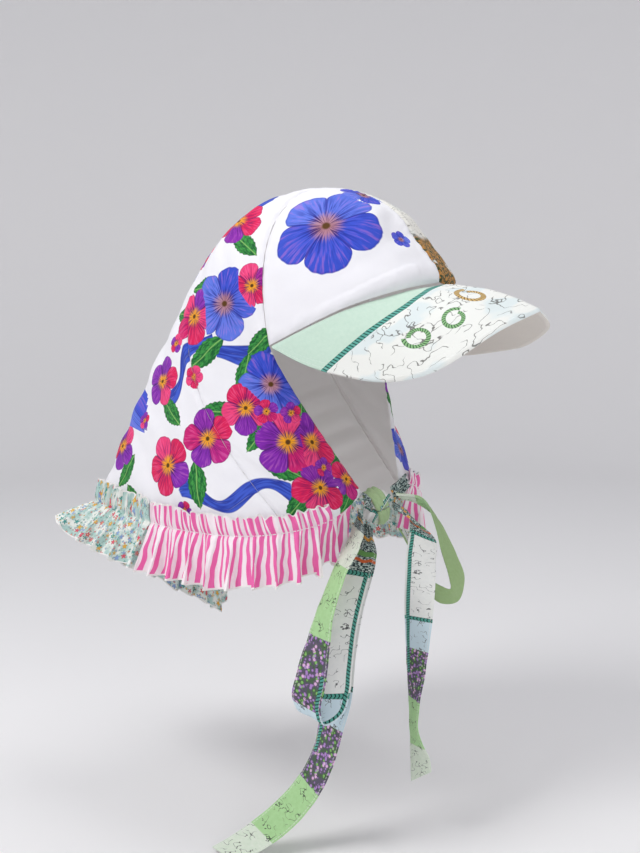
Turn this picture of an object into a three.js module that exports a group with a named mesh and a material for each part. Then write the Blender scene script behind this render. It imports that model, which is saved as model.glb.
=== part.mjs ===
// A cloth babushka cap as it is worn: a rounded crown with a wide curved peak, a hood that falls from the
// crown over the neck to a gathered ruffle, and two cloth ties knotted in a bow under the chin.
// Millimetres, +Z up. The face looks along -Y and the wearer's right is -X. The origin is the inside of the
// crown's top, where the wearer's head carries the cap.
import * as THREE from "three";
import { mergeVertices } from "three/addons/utils/BufferGeometryUtils.js";

// Driving dimensions
const clothWall = 1.5; // crown and hood cloth with its facing
const peakWall = 3.2; // two layers of cloth over a stiffener
const ruffleWall = 1.2;
const strapWall = 1.6; // a tie is a folded and sewn strip
const tieWidth = 24;
const seamGap = 0.45; // from each panel's edge to the seam
const ruffleDrop = 40; // from the gather line to the ruffle's lower edge
const headingHeight = 9; // the small frill above the gather line
const ruffleWave = 19; // length of hem that one fold takes
const apex = new THREE.Vector3(0, 6, clothWall); // where the crown's seams meet, outside the cloth
const domeShare = 0.42; // share of a hood meridian that lies on the head
const seamLean = 15; // how far the seam over the head bows back between apex and ear
const apexStart = 0.015; // panels begin this far down a meridian, so that their points don't meet
const peakRise = 5; // how far the peak's middle arches above a straight line from crown to edge
const ruffleSwell = 4.4; // half the depth of a fold at the ruffle's lower edge
const ruffleCentre = new THREE.Vector3(0, 50, 0); // the ruffle stands out away from here
const knotAt = new THREE.Vector3(-3, -47, -256);
const knotSize = new THREE.Vector3(12, 12, 16.5);

// The crown's lower edge, where the peak is sewn on: one side, from the ear (0) to the front's middle (1).
// round is how much of a quarter turn the cloth makes from the apex to that edge.
const crownEdge = [
  { at: 0.0, x: 82, y: 2, z: -123, round: 1.0 },
  { at: 0.2, x: 83, y: -28, z: -110, round: 0.98 },
  { at: 0.45, x: 73, y: -62, z: -94, round: 0.93 },
  { at: 0.72, x: 43, y: -91, z: -81, round: 0.88 },
  { at: 1.0, x: 0, y: -101, z: -75, round: 0.86 },
];
// Rows of the hood from its front edge (0) round to the middle of the back (1). reach is how wide the head
// makes the cloth, depth how far down that is, leave the share of a quarter turn where the cloth leaves the
// head, hem the gather line of the ruffle, and hang how long the cloth keeps its direction after leaving it.
const hoodRight = [
  { at: 0.0, reachX: 82, reachY: 2, depth: 123, leave: 1.0, hemX: 20, hemY: -46, hemZ: -243, hang: 0.06 },
  { at: 0.12, reachX: 83, reachY: 16, depth: 118, leave: 0.98, hemX: 72, hemY: -47, hemZ: -256, hang: 0.15 },
  { at: 0.25, reachX: 84, reachY: 40, depth: 112, leave: 0.86, hemX: 104, hemY: -10, hemZ: -266, hang: 0.26 },
  { at: 0.42, reachX: 82, reachY: 72, depth: 106, leave: 0.66, hemX: 113, hemY: 75, hemZ: -270, hang: 0.26 },
  { at: 0.6, reachX: 63, reachY: 94, depth: 104, leave: 0.56, hemX: 88, hemY: 190, hemZ: -266, hang: 0.2 },
  { at: 0.74, reachX: 46, reachY: 104, depth: 106, leave: 0.6, hemX: 62, hemY: 176, hemZ: -282, hang: 0.26 },
  { at: 0.87, reachX: 24, reachY: 108, depth: 110, leave: 0.66, hemX: 28, hemY: 142, hemZ: -315, hang: 0.28 },
  { at: 1.0, reachX: 0, reachY: 110, depth: 112, leave: 0.7, hemX: -10, hemY: 130, hemZ: -340, hang: 0.3 },
];
const hoodLeft = [
  { at: 0.0, reachX: 82, reachY: 2, depth: 123, leave: 1.0, hemX: 24, hemY: -54, hemZ: -238, hang: 0.06 },
  { at: 0.12, reachX: 83, reachY: 16, depth: 118, leave: 0.98, hemX: 68, hemY: -46, hemZ: -254, hang: 0.15 },
  { at: 0.25, reachX: 84, reachY: 40, depth: 112, leave: 0.86, hemX: 98, hemY: -5, hemZ: -270, hang: 0.26 },
  { at: 0.42, reachX: 82, reachY: 72, depth: 106, leave: 0.72, hemX: 108, hemY: 60, hemZ: -280, hang: 0.26 },
  { at: 0.6, reachX: 66, reachY: 96, depth: 104, leave: 0.62, hemX: 98, hemY: 132, hemZ: -286, hang: 0.26 },
  { at: 0.74, reachX: 46, reachY: 104, depth: 106, leave: 0.6, hemX: 72, hemY: 150, hemZ: -302, hang: 0.26 },
  { at: 0.87, reachX: 24, reachY: 108, depth: 110, leave: 0.66, hemX: 40, hemY: 143, hemZ: -327, hang: 0.28 },
  { at: 1.0, reachX: 0, reachY: 110, depth: 112, leave: 0.7, hemX: 10, hemY: 130, hemZ: -340, hang: 0.3 },
];
// The seam between side and back panels: down a meridian (down), it lies at this place round the hood (at).
const backSeam = [
  { at: 0.27, round: 0.97 },
  { at: 0.36, round: 0.84 },
  { at: 0.5, round: 0.56 },
  { at: 0.65, round: 0.42 },
  { at: 0.8, round: 0.3 },
  { at: 0.92, round: 0.23 },
  { at: 1.0, round: 0.2 },
];
// The peak's free edge on each side, from the ear (0) to the front's middle (1). The right side curls lower.
const peakEdgeRight = [
  { at: 0.0, x: 82.5, y: 1, z: -124 },
  { at: 0.12, x: 88, y: -32, z: -135 },
  { at: 0.3, x: 90, y: -72, z: -143 },
  { at: 0.5, x: 85, y: -110, z: -145 },
  { at: 0.68, x: 74, y: -142, z: -135 },
  { at: 0.85, x: 45, y: -172, z: -109 },
  { at: 1.0, x: 0, y: -184, z: -95 },
];
const peakEdgeLeft = [
  { at: 0.0, x: 82.5, y: 1, z: -124 },
  { at: 0.12, x: 88, y: -32, z: -133 },
  { at: 0.3, x: 90, y: -72, z: -136 },
  { at: 0.5, x: 85, y: -112, z: -131 },
  { at: 0.68, x: 74, y: -143, z: -124 },
  { at: 0.85, x: 46, y: -173, z: -108 },
  { at: 1.0, x: 0, y: -184, z: -95 },
];
// How far the ruffle stands out from straight down, by its place round the hem.
const ruffleFlare = [
  { at: -1.0, degrees: -14 },
  { at: -0.9, degrees: -10 },
  { at: -0.8, degrees: 8 },
  { at: -0.7, degrees: 16 },
  { at: -0.56, degrees: 16 },
  { at: -0.48, degrees: 36 },
  { at: -0.4, degrees: 66 },
  { at: -0.32, degrees: 44 },
  { at: -0.15, degrees: 16 },
  { at: 0.15, degrees: 12 },
  { at: 0.7, degrees: 14 },
  { at: 0.85, degrees: 4 },
  { at: 1.0, degrees: -12 },
];

// The ties' courses. turn and tilt give the direction of the width: round the vertical from +X, and upwards.
const strapRight = [
  { x: -27, y: -51.5, z: -246, turn: 80, tilt: 70 },
  { x: -20, y: -51.5, z: -249, turn: 80, tilt: 70 },
  { x: -16.5, y: -50.5, z: -251, turn: 80, tilt: 70 },
];
const strapLeft = [
  { x: 27, y: -58.5, z: -238, turn: 95, tilt: 68 },
  { x: 18, y: -57, z: -243, turn: 95, tilt: 68 },
  { x: 11, y: -54, z: -247, turn: 95, tilt: 68 },
];
const loopRight = [
  { x: -18, y: -41, z: -260, turn: -130, tilt: -8 },
  { x: -36, y: -52, z: -266, turn: -127, tilt: -6 },
  { x: -58, y: -61, z: -275, turn: -125, tilt: -2 },
  { x: -80, y: -63, z: -291, turn: -124, tilt: 2 },
  { x: -92, y: -58.5, z: -318, turn: -118, tilt: 0 },
  { x: -98, y: -55, z: -346, turn: -100, tilt: -4 },
  { x: -102, y: -52, z: -371, turn: -78, tilt: -16 },
  { x: -102, y: -48, z: -392, turn: -68, tilt: -26 },
  { x: -97, y: -50, z: -403, turn: -66, tilt: -26 },
  { x: -88, y: -57, z: -400, turn: -58, tilt: -10 },
  { x: -83.5, y: -60.5, z: -386, turn: -50, tilt: 0 },
  { x: -83, y: -62, z: -370, turn: -44, tilt: -2 },
  { x: -74, y: -61.5, z: -333, turn: -46, tilt: -5 },
  { x: -59, y: -61.5, z: -302, turn: -70, tilt: -4 },
  { x: -38, y: -57, z: -284, turn: -86, tilt: -4 },
  { x: -14, y: -46, z: -270, turn: -118, tilt: 2 },
];
const tailRight = [
  { x: -5, y: -42, z: -274, turn: -113, tilt: 0 },
  { x: -33, y: -53, z: -294, turn: -90, tilt: -5 },
  { x: -59, y: -56.5, z: -327, turn: -66, tilt: 0 },
  { x: -71, y: -57.5, z: -361, turn: -66, tilt: -2 },
  { x: -74.5, y: -57, z: -395, turn: -84, tilt: -8 },
  { x: -76.5, y: -53, z: -416, turn: -98, tilt: -10 },
  { x: -78.5, y: -48.5, z: -437, turn: -104, tilt: -14 },
  { x: -84, y: -38.5, z: -464, turn: -104, tilt: -22 },
  { x: -95, y: -25.5, z: -486, turn: -98, tilt: -28 },
  { x: -109, y: -10.5, z: -503, turn: -92, tilt: -26 },
  { x: -122, y: 2, z: -513, turn: -92, tilt: -16 },
  { x: -132, y: 11, z: -517.6, turn: -94, tilt: -6 },
];
const tailLeft = [
  { x: 1, y: -61.5, z: -255, turn: -128, tilt: -22 },
  { x: 5, y: -73, z: -262, turn: -122, tilt: -24 },
  { x: 8, y: -83, z: -273, turn: -96, tilt: -18 },
  { x: 5, y: -85, z: -298, turn: -60, tilt: -6 },
  { x: -3, y: -88.5, z: -329, turn: -76, tilt: -1 },
  { x: -11, y: -92, z: -359, turn: -100, tilt: 2 },
  { x: -17, y: -94, z: -384, turn: -116, tilt: 3 },
  { x: -21, y: -94.5, z: -405, turn: -130, tilt: 5 },
  { x: -22, y: -96, z: -431, turn: -132, tilt: 6 },
  { x: -21, y: -100, z: -448, turn: -114, tilt: 14 },
  { x: -22, y: -103, z: -466, turn: -98, tilt: 36 },
];
const loopLeft = [
  { x: 10, y: -61, z: -248, turn: -10, tilt: -32 },
  { x: 22, y: -69, z: -252, turn: 16, tilt: -36 },
  { x: 34, y: -76.5, z: -261, turn: 14, tilt: -34 },
  { x: 41, y: -83.5, z: -280, turn: 8, tilt: -16 },
  { x: 44, y: -91, z: -301, turn: 0, tilt: -8 },
  { x: 44.5, y: -98, z: -320, turn: -6, tilt: -16 },
  { x: 40, y: -98, z: -333, turn: 6, tilt: -38 },
  { x: 30, y: -89, z: -331, turn: 12, tilt: -56 },
  { x: 23.5, y: -79.5, z: -321, turn: 18, tilt: -52 },
  { x: 20, y: -71, z: -300, turn: 20, tilt: -40 },
  { x: 14, y: -61, z: -276, turn: 18, tilt: -26 },
];

// A smooth curve through a table's rows, for one value of its first column: returns every other column.
function readTable(rows, at) {
  const names = Object.keys(rows[0]).filter((n) => n !== "at");
  const t = Math.min(Math.max(at, rows[0].at), rows.at(-1).at);
  let k = 0;
  while (k < rows.length - 2 && t > rows[k + 1].at) k++;
  const step = (i) => rows[i + 1].at - rows[i].at;
  const slope = (i, n) => (rows[i + 1][n] - rows[i][n]) / step(i);
  const tangent = (i, n) => {
    if (i === 0) return slope(0, n);
    if (i === rows.length - 1) return slope(i - 1, n);
    return (slope(i - 1, n) * step(i) + slope(i, n) * step(i - 1)) / (step(i - 1) + step(i));
  };
  const h = step(k);
  const u = (t - rows[k].at) / h;
  const out = {};
  for (const n of names) {
    out[n] =
      (2 * u ** 3 - 3 * u ** 2 + 1) * rows[k][n] +
      (u ** 3 - 2 * u ** 2 + u) * h * tangent(k, n) +
      (3 * u ** 2 - 2 * u ** 3) * rows[k + 1][n] +
      (u ** 3 - u ** 2) * h * tangent(k + 1, n);
  }
  return out;
}

const quarter = Math.PI / 2;
const smooth = (a, b, x) => THREE.MathUtils.smoothstep(x, a, b);

// The crown's cloth: round 0 at the seam over the head to 1 at the middle of the front, down 0 at the apex
// to 1. In all of these, side is -1 on the wearer's right and +1 on the left.
function crownPoint(round, down, side) {
  const row = readTable(crownEdge, round);
  const turn = row.round * quarter;
  const a = down * turn;
  const out = Math.sin(a) / Math.sin(turn);
  const lean = seamLean * (1 - smooth(0, 0.7, round)) * Math.sin(Math.PI * down);
  const p = new THREE.Vector3(
    row.x * out * side,
    apex.y + (row.y - apex.y) * out + lean,
    apex.z + ((row.z - apex.z) * (1 - Math.cos(a))) / (1 - Math.cos(turn)),
  );
  // the cap is larger than the head, so the front sinks above a roll of cloth along the peak
  const sink = smooth(0.55, 0.85, round) * 5 * Math.exp(-(((down - 0.7) / 0.12) ** 2));
  const roll = smooth(0.3, 0.7, round) * 2.5 * Math.exp(-(((down - 0.93) / 0.06) ** 2));
  const flat = new THREE.Vector3(p.x, p.y - apex.y, 0).normalize();
  return p.addScaledVector(flat, roll - sink);
}

// The hood's cloth: round 0 at the front edge to 1 at the middle of the back, down 0 at the apex to 1 at the
// hem.
function hoodPoint(round, down, side) {
  const row = readTable(side < 0 ? hoodRight : hoodLeft, round);
  const turn = row.leave * quarter;
  const reach = new THREE.Vector3(row.reachX * side, row.reachY, -row.depth).sub(apex);
  const onHead = (a) => {
    const out = Math.sin(a);
    return new THREE.Vector3(reach.x * out, reach.y * out, reach.z * (1 - Math.cos(a))).add(apex);
  };
  const lean = seamLean * (1 - smooth(0, 0.5, round));
  if (down < domeShare) {
    const share = down / domeShare;
    const p = onHead(share * turn);
    p.y += lean * Math.sin(Math.PI * share);
    return p;
  }
  const start = onHead(turn);
  const level = Math.cos(turn);
  const way = new THREE.Vector3(reach.x * level, reach.y * level, reach.z * Math.sin(turn)).normalize();
  const end = new THREE.Vector3(row.hemX * side, row.hemY, row.hemZ);
  const length = start.distanceTo(end);
  const first = start.clone().addScaledVector(way, length * row.hang);
  const second = end.clone().add(first.clone().sub(end).setLength(length / 3));
  const curve = new THREE.CubicBezierCurve3(start, first, second, end);
  return curve.getPoint((down - domeShare) / (1 - domeShare));
}

// The peak: round 0 at the ear to 1 at the middle, out 0 at the crown to 1 at the free edge.
function peakPoint(round, out, side) {
  const root = crownPoint(round, 1, side);
  root.z -= clothWall;
  const row = readTable(side < 0 ? peakEdgeRight : peakEdgeLeft, round);
  const edge = new THREE.Vector3(row.x * side, row.y, row.z);
  const p = root.clone().lerp(edge, out);
  p.z += peakRise * Math.sin(Math.PI * out) * Math.sin(quarter * round);
  return p;
}

// Unit normal of a surface by small steps; flip turns it outwards.
function normalOf(surface, u, v, flip) {
  const e = 1e-3;
  const du = surface(Math.min(u + e, 1), v).sub(surface(Math.max(u - e, 0), v));
  const dv = surface(u, Math.min(v + e, 1)).sub(surface(u, Math.max(v - e, 0)));
  return du.cross(dv).multiplyScalar(flip).normalize();
}

// A closed wall between a surface and the same surface moved in by its thickness. The surface takes u and v
// from 0 to 1 and gives the outer face and its outward normal.
function wallBetween(columns, rows, sheet, thickness) {
  const outer = [];
  const inner = [];
  for (let j = 0; j <= rows; j++) {
    for (let i = 0; i <= columns; i++) {
      const { point, normal } = sheet(i / columns, j / rows);
      outer.push(point);
      inner.push(point.clone().addScaledVector(normal, -thickness));
    }
  }
  const at = (i, j) => j * (columns + 1) + i;
  const n = outer.length;
  const faces = [];
  const quad = (a, b, c, d) => faces.push(a, b, c, a, c, d);
  for (let j = 0; j < rows; j++) {
    for (let i = 0; i < columns; i++) {
      quad(at(i, j), at(i + 1, j), at(i + 1, j + 1), at(i, j + 1));
      quad(n + at(i, j), n + at(i, j + 1), n + at(i + 1, j + 1), n + at(i + 1, j));
    }
  }
  for (let i = 0; i < columns; i++) {
    quad(at(i + 1, 0), at(i, 0), n + at(i, 0), n + at(i + 1, 0));
    quad(at(i, rows), at(i + 1, rows), n + at(i + 1, rows), n + at(i, rows));
  }
  for (let j = 0; j < rows; j++) {
    quad(at(0, j), at(0, j + 1), n + at(0, j + 1), n + at(0, j));
    quad(at(columns, j + 1), at(columns, j), n + at(columns, j), n + at(columns, j + 1));
  }
  const geometry = new THREE.BufferGeometry();
  const flat = [...outer, ...inner].flatMap((p) => [p.x, p.y, p.z]);
  geometry.setAttribute("position", new THREE.Float32BufferAttribute(flat, 3));
  geometry.setIndex(faces);
  if (signedVolume(geometry) < 0) {
    geometry.setIndex(faces.reverse());
  }
  geometry.computeVertexNormals();
  return geometry;
}

function signedVolume(geometry) {
  const p = geometry.getAttribute("position");
  const index = geometry.getIndex().array;
  const corner = [0, 1, 2].map(() => new THREE.Vector3());
  let sum = 0;
  for (let k = 0; k < index.length; k += 3) {
    corner.forEach((c, i) => c.fromBufferAttribute(p, index[k + i]));
    sum += corner[0].dot(new THREE.Vector3().crossVectors(corner[1], corner[2]));
  }
  return sum / 6;
}

const cap = new THREE.Group();
function addPiece(name, geometry, finish) {
  const mesh = new THREE.Mesh(geometry, finish);
  mesh.name = name;
  cap.add(mesh);
}
const cloth = (color) => new THREE.MeshStandardMaterial({ color, roughness: 0.9, metalness: 0 });
const finishes = {
  printedCotton: cloth(0xe9e6f0),
  palePrint: cloth(0xe8e2d2),
  paleLinen: cloth(0xdfe8df),
  pinkStripe: cloth(0xee8fbd),
  smallFlowers: cloth(0xb9cbb8),
  tieLinen: cloth(0xb9cdb4),
};

const sideName = (side) => (side < 0 ? "right" : "left");

// Inset of a share by a length, where the whole share is that long
const inset = (u, length) => seamGap / length + u * (1 - (2 * seamGap) / length);

function crownFront(side) {
  const sheet = (u, v) => {
    const down = apexStart + v * (1 - apexStart);
    const width = 24 + 130 * down;
    const round = inset(u, width * down + 4);
    const face = (a, b) => crownPoint(a, b, side);
    return { point: face(round, down), normal: normalOf(face, round, down, side) };
  };
  const finish = side < 0 ? finishes.printedCotton : finishes.palePrint;
  addPiece("crown_front_" + sideName(side), wallBetween(12, 10, sheet, clothWall), finish);
}

// Side and back panels are cut at the same heights, so that their seams run beside each other
const hoodRows = 20;
const backFirstRow = 5;
const hoodDown = (row) => apexStart + (row / hoodRows) * (1 - apexStart);
// Where that seam lies at a row. Above the first row of the back panel it closes to the middle.
function seamAtRow(row) {
  const first = readTable(backSeam, hoodDown(backFirstRow)).round;
  const closing = backFirstRow - row;
  if (closing > 0) return Math.min(1, first + (1 - first) * closing);
  return readTable(backSeam, hoodDown(row)).round;
}
const speedRound = (face, round, down) => face(round, down).distanceTo(face(round - 0.01, down)) / 0.01;

function hoodSide(side) {
  const face = (a, b) => hoodPoint(a, b, side);
  const sheet = (u, v) => {
    const row = Math.round(v * hoodRows);
    const down = hoodDown(row);
    const seam = seamAtRow(row);
    const last = seam - seamGap / speedRound(face, seam, down);
    const first = seamGap / speedRound(face, 0.01, down);
    const round = first + u * (last - first);
    return { point: face(round, down), normal: normalOf(face, round, down, -side) };
  };
  const cloth = wallBetween(10, hoodRows, sheet, clothWall);
  addPiece("hood_side_" + sideName(side), cloth, finishes.printedCotton);
}

function hoodBack() {
  const rows = hoodRows - backFirstRow + 1;
  const sheet = (u, v) => {
    const row = Math.max(backFirstRow - 0.55, backFirstRow - 1 + Math.round(v * rows));
    const down = hoodDown(row);
    const seam = seamAtRow(row);
    const across = 2 * u - 1;
    const side = across < 0 ? -1 : 1;
    const face = (a, b) => hoodPoint(a, b, side);
    const first = seam + seamGap / speedRound(face, seam, down);
    const round = 1 - Math.abs(across) * (1 - first);
    return { point: face(round, down), normal: normalOf(face, Math.min(round, 0.999), down, -side) };
  };
  addPiece("hood_back", wallBetween(24, rows, sheet, clothWall), finishes.printedCotton);
}

function peak() {
  const sheet = (u, v) => {
    const across = (2 * u - 1) * 0.965;
    const side = across < 0 ? -1 : 1;
    const round = 1 - Math.abs(across);
    const face = (a, b) => peakPoint(a, b, side);
    const normal = normalOf(face, Math.min(round, 0.999), v, side);
    return { point: face(round, v), normal: normal.z < 0 ? normal.negate() : normal };
  };
  addPiece("peak", wallBetween(28, 7, sheet, peakWall), finishes.paleLinen);
}

// The ruffle's way round the hem: place -1 at the right front corner, 0 at the middle of the back, 1 at the
// left front corner
const hemSide = (place) => (place < 0 ? -1 : 1);
const hemPoint = (place, down = 1) => hoodPoint(1 - Math.abs(place), down, hemSide(place));

// Places evenly spaced along the gather line between two of them, and the length of hem between
function hemStations(from, to, count) {
  const fine = 400;
  const places = Array.from({ length: fine + 1 }, (_, i) => from + ((to - from) * i) / fine);
  const lengths = [0];
  for (let i = 1; i <= fine; i++) {
    lengths.push(lengths[i - 1] + hemPoint(places[i]).distanceTo(hemPoint(places[i - 1])));
  }
  const total = lengths.at(-1);
  const stations = [];
  let k = 0;
  for (let i = 0; i <= count; i++) {
    const wanted = (total * i) / count;
    while (k < fine - 1 && lengths[k + 1] < wanted) k++;
    const share = (wanted - lengths[k]) / (lengths[k + 1] - lengths[k]);
    stations.push(places[k] + share * (places[k + 1] - places[k]));
  }
  return { stations, total };
}

function ruffle(name, from, to, finish) {
  const folds = Math.round(hemStations(from, to, 1).total / ruffleWave);
  const columns = folds * 5;
  const { stations, total } = hemStations(from, to, columns);
  const heights = [-headingHeight, 0, 0.3 * ruffleDrop, 0.65 * ruffleDrop, ruffleDrop];
  const sheet = (u, v) => {
    const column = Math.round(u * columns);
    const place = stations[column];
    const low = heights[Math.round(v * (heights.length - 1))];
    const wave = Math.sin((2 * Math.PI * folds * column) / columns + 0.6);
    const near = (0.5 / total) * Math.abs(to - from);
    const along = hemPoint(place + near).sub(hemPoint(place - near)).normalize();
    const hood = (a, b) => hoodPoint(a, b, hemSide(place));
    const down = low < 0 ? 1 + low / hemPoint(place, 0.9).distanceTo(hemPoint(place)) / 10 : 1;
    const round = Math.min(1 - Math.abs(place), 0.998);
    const normal = normalOf(hood, round, Math.min(down, 0.999), -hemSide(place));
    const lift = ruffleWall + 1;
    if (low < 0) {
      const frill = lift + 1.3 + 1.5 * (1 + wave);
      return { point: hemPoint(place, down).addScaledVector(normal, frill), normal };
    }
    const level = hemPoint(place).sub(ruffleCentre).setZ(0).normalize();
    const flare = THREE.MathUtils.degToRad(readTable(ruffleFlare, place).degrees);
    const fall = level.clone().multiplyScalar(Math.sin(flare));
    fall.z = -Math.cos(flare);
    const out = new THREE.Vector3().crossVectors(along, fall).normalize();
    if (out.dot(level) + out.z * Math.sin(flare) < 0) out.negate();
    const swell = ruffleSwell * Math.sqrt(low / ruffleDrop);
    const point = hemPoint(place).addScaledVector(normal, lift).addScaledVector(fall, low);
    return { point: point.addScaledVector(out, swell * wave), normal: out };
  };
  addPiece(name, wallBetween(columns, heights.length - 1, sheet, ruffleWall), finish);
}

// A tie's course, from its rows, as a closed flat band. Rows are read by the length along the tie.
function tie(name, rows, finish, widthAt) {
  const course = [];
  let along = 0;
  rows.forEach((row, i) => {
    if (i > 0) along += Math.hypot(row.x - rows[i - 1].x, row.y - rows[i - 1].y, row.z - rows[i - 1].z);
    course.push({ at: along, ...row });
  });
  const place = (s) => {
    const r = readTable(course, s);
    return new THREE.Vector3(r.x, r.y, r.z);
  };
  const sheet = (u, v) => {
    const s = v * along;
    const r = readTable(course, s);
    const turn = THREE.MathUtils.degToRad(r.turn);
    const tilt = THREE.MathUtils.degToRad(r.tilt);
    const wide = new THREE.Vector3(Math.cos(turn), Math.sin(turn), 0).multiplyScalar(Math.cos(tilt));
    wide.z = Math.sin(tilt);
    const way = place(Math.min(s + 1, along)).sub(place(Math.max(s - 1, 0)));
    const normal = new THREE.Vector3().crossVectors(wide, way).normalize();
    const point = place(s).addScaledVector(wide, (u - 0.5) * widthAt(s, along));
    return { point: point.addScaledVector(normal, strapWall / 2), normal };
  };
  addPiece(name, wallBetween(2, Math.round(along / 9), sheet, strapWall), finish);
}

// The knot: a plump body with a shallow furrow where the strap crosses it
function knot() {
  const shape = new THREE.SphereGeometry(1, 18, 14);
  shape.deleteAttribute("uv");
  shape.deleteAttribute("normal");
  const p = shape.getAttribute("position");
  for (let i = 0; i < p.count; i++) {
    const v = new THREE.Vector3().fromBufferAttribute(p, i);
    const furrow = 1 - 0.1 * Math.exp(-(((v.z * 0.8 + v.x * 0.6) / 0.25) ** 2));
    v.multiply(new THREE.Vector3(furrow, furrow, 1)).multiply(knotSize).add(knotAt);
    p.setXYZ(i, v.x, v.y, v.z);
  }
  const merged = mergeVertices(shape, 1e-4);
  merged.computeVertexNormals();
  addPiece("knot", merged, finishes.tieLinen);
}

crownFront(-1);
crownFront(1);
hoodSide(-1);
hoodSide(1);
hoodBack();
peak();
ruffle("ruffle_right", -0.93, -0.54, finishes.pinkStripe);
ruffle("ruffle_back", -0.537, 0.53, finishes.smallFlowers);
ruffle("ruffle_left", 0.533, 0.94, finishes.smallFlowers);
knot();
const pinch = (s) => tieWidth * (0.42 + 0.58 * smooth(0, 34, s));
const loopWidth = (s, all) => Math.min(pinch(s), pinch(all - s));
tie("strap_right", strapRight, finishes.tieLinen, () => 12);
tie("strap_left", strapLeft, finishes.tieLinen, () => 12);
tie("loop_right", loopRight, finishes.tieLinen, loopWidth);
tie("loop_left", loopLeft, finishes.tieLinen, loopWidth);
tie("tail_right", tailRight, finishes.tieLinen, pinch);
tie("tail_left", tailLeft, finishes.tieLinen, pinch);

export default cap;
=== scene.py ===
import math
import bpy
import numpy as np
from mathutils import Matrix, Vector


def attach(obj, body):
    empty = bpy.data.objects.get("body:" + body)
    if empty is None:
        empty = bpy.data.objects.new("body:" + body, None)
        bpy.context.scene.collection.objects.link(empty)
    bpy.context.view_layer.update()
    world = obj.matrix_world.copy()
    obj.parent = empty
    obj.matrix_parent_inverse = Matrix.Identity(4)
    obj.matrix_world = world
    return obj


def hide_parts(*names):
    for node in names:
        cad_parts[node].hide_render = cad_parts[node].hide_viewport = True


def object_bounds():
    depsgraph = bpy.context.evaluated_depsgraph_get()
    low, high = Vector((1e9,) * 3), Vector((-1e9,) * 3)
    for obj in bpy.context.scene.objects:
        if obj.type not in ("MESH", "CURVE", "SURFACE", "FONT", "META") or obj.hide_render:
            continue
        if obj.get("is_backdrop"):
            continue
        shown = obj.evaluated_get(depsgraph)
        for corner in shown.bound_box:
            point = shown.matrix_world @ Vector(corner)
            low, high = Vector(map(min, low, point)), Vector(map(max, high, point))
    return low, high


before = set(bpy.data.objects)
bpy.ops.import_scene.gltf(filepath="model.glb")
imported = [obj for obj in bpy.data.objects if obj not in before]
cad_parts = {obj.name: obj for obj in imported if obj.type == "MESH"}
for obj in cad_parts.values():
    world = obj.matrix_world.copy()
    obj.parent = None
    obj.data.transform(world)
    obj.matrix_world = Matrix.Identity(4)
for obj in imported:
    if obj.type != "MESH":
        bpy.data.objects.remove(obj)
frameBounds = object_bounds()
tau = 2 * math.pi


# the cloth's forms, in millimetres

def table(names, rows):
    # named columns from short rows
    return dict(zip(names.split(), np.array(rows, float).T))


def read(tab, at, *names):
    # cubic Hermite curve through each column; its slopes are the neighbours' weighted by their steps
    knots = tab["at"]
    step = np.diff(knots)
    at = np.clip(at, knots[0], knots[-1])
    k = np.clip(np.searchsorted(knots, at, side="right") - 1, 0, len(step) - 1)
    h = step[k]
    t = (at - knots[k]) / h
    out = []
    for name in names:
        value = tab[name]
        slope = np.diff(value) / step
        inner = (slope[:-1] * step[1:] + slope[1:] * step[:-1]) / (step[:-1] + step[1:])
        tangent = np.concatenate([slope[:1], inner, slope[-1:]])
        out.append((2 * t**3 - 3 * t**2 + 1) * value[k] + (t**3 - 2 * t**2 + t) * h * tangent[k]
                   + (3 * t**2 - 2 * t**3) * value[k + 1] + (t**3 - t**2) * h * tangent[k + 1])
    return out


def readSides(right, left, side, at, *names):
    # the right table's values where side is below 0, and else the left one's
    pairs = zip(read(right, at, *names), read(left, at, *names))
    return [np.where(side < 0, r, l) for r, l in pairs]


apex = np.array([0, 6, 1.5])
domeShare = 0.42
seamLean = 15
crownEdge = table("at x y z round", [
    (0, 82, 2, -123, 1), (0.2, 83, -28, -110, 0.98), (0.45, 73, -62, -94, 0.93),
    (0.72, 43, -91, -81, 0.88), (1, 0, -101, -75, 0.86)])
hoodNames = "at reachX reachY depth leave hemX hemY hemZ hang"
hoodRight = table(hoodNames, [
    (0, 82, 2, 123, 1, 20, -46, -243, 0.06), (0.12, 83, 16, 118, 0.98, 72, -47, -256, 0.15),
    (0.25, 84, 40, 112, 0.86, 104, -10, -266, 0.26), (0.42, 82, 72, 106, 0.66, 113, 75, -270, 0.26),
    (0.6, 63, 94, 104, 0.56, 88, 190, -266, 0.2), (0.74, 46, 104, 106, 0.6, 62, 176, -282, 0.26),
    (0.87, 24, 108, 110, 0.66, 28, 142, -315, 0.28), (1, 0, 110, 112, 0.7, -10, 130, -340, 0.3)])
hoodLeft = table(hoodNames, [
    (0, 82, 2, 123, 1, 24, -54, -238, 0.06), (0.12, 83, 16, 118, 0.98, 68, -46, -254, 0.15),
    (0.25, 84, 40, 112, 0.86, 98, -5, -270, 0.26), (0.42, 82, 72, 106, 0.72, 108, 60, -280, 0.26),
    (0.6, 66, 96, 104, 0.62, 98, 132, -286, 0.26), (0.74, 46, 104, 106, 0.6, 72, 150, -302, 0.26),
    (0.87, 24, 108, 110, 0.66, 40, 143, -327, 0.28), (1, 0, 110, 112, 0.7, 10, 130, -340, 0.3)])
backSeam = table("at round", [
    (0.27, 0.97), (0.36, 0.84), (0.5, 0.56), (0.65, 0.42), (0.8, 0.3), (0.92, 0.23), (1, 0.2)])
peakEdgeRight = table("at x y z", [
    (0, 82.5, 1, -124), (0.12, 88, -32, -135), (0.3, 90, -72, -143), (0.5, 85, -110, -145),
    (0.68, 74, -142, -135), (0.85, 45, -172, -109), (1, 0, -184, -95)])
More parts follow.
